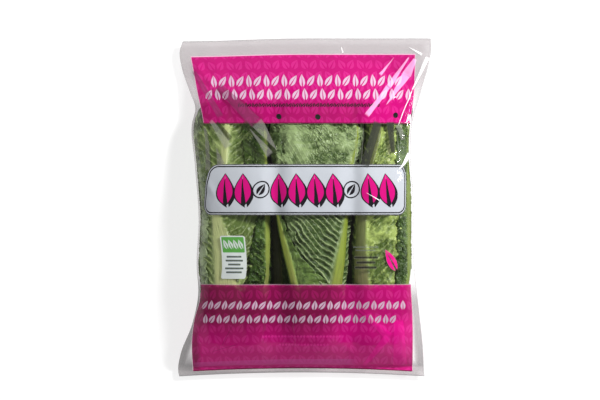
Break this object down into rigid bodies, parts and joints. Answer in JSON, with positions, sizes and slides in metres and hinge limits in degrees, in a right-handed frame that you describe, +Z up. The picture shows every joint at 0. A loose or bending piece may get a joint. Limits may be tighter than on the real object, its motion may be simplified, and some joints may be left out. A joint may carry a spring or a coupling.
{
  "type": "bag of romaine lettuce hearts",
  "caption": "Sealed clear film bag with printed bands, filled with whole romaine lettuce hearts, lying on its back with the printed face up.",
  "frame": {"origin": "on the surface that the bag lies on, under the middle of its length and width", "axes": "+Y along the bag towards its header, +X across its width to the right as seen from the printed front, +Z up out of the printed front"},
  "size_m": [0.257, 0.343, 0.0689],
  "materials": {
    "film": "clear glossy film with magenta printed bands",
    "leaf": "matt puckered romaine leaf with pale glossy ribs"
  },
  "bodies": {
    "root": {"salad_bag": "film"}
  },
  "joints": []
}
